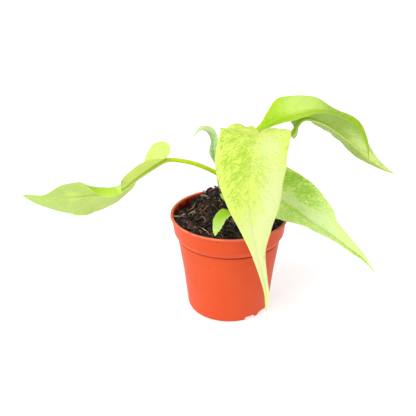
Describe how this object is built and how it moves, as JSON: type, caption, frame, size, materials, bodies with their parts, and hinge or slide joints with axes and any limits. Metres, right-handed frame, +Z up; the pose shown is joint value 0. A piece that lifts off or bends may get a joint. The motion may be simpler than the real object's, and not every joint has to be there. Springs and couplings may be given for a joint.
{
  "type": "potted philodendron",
  "caption": "Young hybrid philodendron with long heart-shaped, arching leaves in a round terracotta-coloured nursery pot of dark soil.",
  "frame": {"origin": "centre of the pot's flat underside, where it rests on a surface", "axes": "+Z up along the pot's axis, -Y towards the side that the large hanging leaf covers, +X to the right of that view"},
  "size_m": [0.3623, 0.1278, 0.2175],
  "materials": {
    "pot": "smooth moulded terracotta-orange plastic with a soft sheen",
    "soil": "rough dark peat with coco fibre",
    "stem": "green, matt, with ring scars",
    "leaf_front": "satin leaf, lime yellow marbled with green",
    "leaf_upper": "satin leaf, bright lime green",
    "leaf_back_right": "satin leaf, greyish green underside in view",
    "leaf_right": "satin leaf, mottled dark and pale green",
    "leaf_left": "satin leaf, pale lime green",
    "leaf_small_back": "bluish pale green, waxy",
    "leaf_small_front": "satin leaf, fresh green",
    "bract": "thin green sheath, matt"
  },
  "bodies": {
    "root": {"pot": "pot", "soil": "soil", "stem": "stem", "leaf_front": "leaf_front", "leaf_upper": "leaf_upper", "leaf_back_right": "leaf_back_right", "leaf_right": "leaf_right", "leaf_left": "leaf_left", "leaf_small_back": "leaf_small_back", "leaf_small_front": "leaf_small_front", "bract": "bract"}
  },
  "joints": []
}
